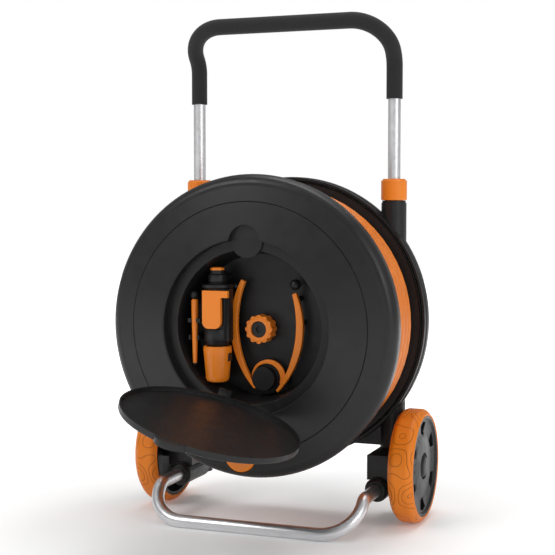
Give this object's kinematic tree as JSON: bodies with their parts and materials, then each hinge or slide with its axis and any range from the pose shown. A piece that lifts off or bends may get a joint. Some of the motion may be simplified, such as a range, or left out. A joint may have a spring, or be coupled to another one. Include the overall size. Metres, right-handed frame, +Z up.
{
  "type": "garden hose reel cart",
  "caption": "Wheeled garden hose reel cart with a telescopic tube handle, an upright hose drum and a lidded accessory compartment in the drum's face.",
  "frame": {"origin": "on the floor under the middle of the overall box", "axes": "+Z up, -Y out of the drum's front face and towards the foot loop, +X along the wheels' axis, to the right seen from the front"},
  "size_m": [0.4498, 0.5222, 0.7664],
  "materials": {
    "grey_plastic": "satin moulded dark grey",
    "dark_plastic": "satin moulded near black",
    "orange_plastic": "smooth semi-gloss",
    "polished_tube": "bright drawn and polished",
    "zinc_steel": "zinc plated",
    "grip_foam": "closed-cell foam, matte",
    "seal_rubber": "matte",
    "orange_tyre": "satin soft plastic",
    "orange_hose": "satin extruded"
  },
  "bodies": {
    "stand": {"rear_frame": "grey_plastic", "side_bracket_left": "grey_plastic", "side_bracket_right": "grey_plastic", "bracket_screws": "zinc_steel", "collet_left": "dark_plastic", "collet_right": "dark_plastic", "foot_tube": "polished_tube", "socket_ring_left": "dark_plastic", "socket_ring_right": "dark_plastic", "stub_axle_left": "zinc_steel", "stub_axle_right": "zinc_steel", "axle_cap_left": "dark_plastic", "axle_cap_right": "dark_plastic", "spindle": "dark_plastic", "spindle_seals": "seal_rubber", "spindle_clip": "zinc_steel"},
    "handle": {"handle_tube": "polished_tube", "foam_grip": "grip_foam", "tube_plug_left": "dark_plastic", "tube_plug_right": "dark_plastic"},
    "clamp_left": {"collar_left": "orange_plastic"},
    "clamp_right": {"collar_right": "orange_plastic"},
    "wheel_left": {"tyre_left": "orange_tyre", "hub_left": "grey_plastic"},
    "wheel_right": {"tyre_right": "orange_tyre", "hub_right": "grey_plastic"},
    "drum": {"front_cover": "grey_plastic", "front_drum_half": "dark_plastic", "rear_drum_half": "grey_plastic", "drum_screws": "zinc_steel", "front_bush": "zinc_steel", "rear_bush": "zinc_steel", "water_swivel": "dark_plastic", "hose_winding": "orange_hose", "hose_end_connector": "dark_plastic", "accessory_tub": "dark_plastic", "hinge_ears": "dark_plastic", "hinge_pin": "zinc_steel"},
    "lid": {"lid": "grey_plastic"},
    "crank_pin": {"crank_pin": "zinc_steel"},
    "crank_knob": {"crank_knob": "orange_plastic"},
    "spray_gun": {"gun_body": "dark_plastic", "gun_tip": "orange_plastic", "gun_lever_pin": "zinc_steel"},
    "gun_lever": {"gun_lever": "orange_plastic"},
    "gun_coupling": {"gun_coupling": "orange_plastic"},
    "coupling_release": {"coupling_release": "dark_plastic"},
    "ground_stake": {"stake_rod": "orange_plastic", "stake_ends": "dark_plastic"},
    "tap_connector": {"tap_connector": "orange_plastic", "tap_washer": "seal_rubber"},
    "sprinkler": {"sprinkler_leg_left": "orange_plastic", "sprinkler_leg_right": "orange_plastic", "sprinkler_bow": "orange_plastic", "sprinkler_disc": "dark_plastic", "sprinkler_feet": "dark_plastic"}
  },
  "joints": [
    {"name": "handle_telescope", "type": "slide", "parent": "stand", "child": "handle", "axis": [0, 0, -1], "range_m": [0, 0.115]},
    {"name": "clamp_left_twist", "type": "hinge", "parent": "stand", "child": "clamp_left", "pos_m": [-0.1625, 0.21071, 0.495], "axis": [0, 0, 1], "range_deg": [0, 60]},
    {"name": "clamp_right_twist", "type": "hinge", "parent": "stand", "child": "clamp_right", "pos_m": [0.1625, 0.21071, 0.495], "axis": [0, 0, 1], "range_deg": [0, 60]},
    {"name": "wheel_left_roll", "type": "hinge", "parent": "stand", "child": "wheel_left", "pos_m": [-0.2054, 0.17541, 0.0855], "axis": [1, 0, 0], "continuous": true},
    {"name": "wheel_right_roll", "type": "hinge", "parent": "stand", "child": "wheel_right", "pos_m": [0.2054, 0.17541, 0.0855], "axis": [1, 0, 0], "continuous": true},
    {"name": "drum_turn", "type": "hinge", "parent": "stand", "child": "drum", "pos_m": [0, 0.10101, 0.3015], "axis": [0, 1, 0], "continuous": true},
    {"name": "lid_hinge", "type": "hinge", "parent": "drum", "child": "lid", "pos_m": [0, -0.00279, 0.1813], "axis": [0.9815, 0.1353, -0.1353], "range_deg": [-93.5, 0]},
    {"name": "crank_pull_out", "type": "slide", "parent": "drum", "child": "crank_pin", "axis": [0, -1, 0], "range_m": [0, 0.018]},
    {"name": "knob_spin", "type": "hinge", "parent": "crank_pin", "child": "crank_knob", "pos_m": [-0.01177, 0.02701, 0.11437], "axis": [0, 1, 0], "continuous": true},
    {"name": "gun_lift_out", "type": "slide", "parent": "drum", "child": "spray_gun", "axis": [0, -1, 0], "range_m": [0, 0.06]},
    {"name": "gun_lever_squeeze", "type": "hinge", "parent": "spray_gun", "child": "gun_lever", "pos_m": [-0.055, 0.02151, 0.3485], "axis": [1, 0, 0], "range_deg": [0, 4], "stiffness_Nm_per_rad": 1.5},
    {"name": "coupling_turn", "type": "hinge", "parent": "spray_gun", "child": "gun_coupling", "pos_m": [-0.055, 0.03401, 0.2435], "axis": [0, 0, 1], "continuous": true},
    {"name": "coupling_button_press", "type": "slide", "parent": "gun_coupling", "child": "coupling_release", "axis": [-1, 0, 0], "range_m": [0, 0.0015], "stiffness_N_per_m": 1500},
    {"name": "stake_lift_out", "type": "slide", "parent": "drum", "child": "ground_stake", "axis": [0, -1, 0], "range_m": [0, 0.05]},
    {"name": "tap_connector_lift_off", "type": "slide", "parent": "drum", "child": "tap_connector", "axis": [0, -1, 0], "range_m": [0, 0.06]},
    {"name": "sprinkler_lift_out", "type": "slide", "parent": "drum", "child": "sprinkler", "axis": [0, -1, 0], "range_m": [0, 0.06]}
  ],
  "couplings": [
    {"joint": "sprinkler_lift_out", "follows": "gun_lift_out", "ratio": 1}
  ]
}
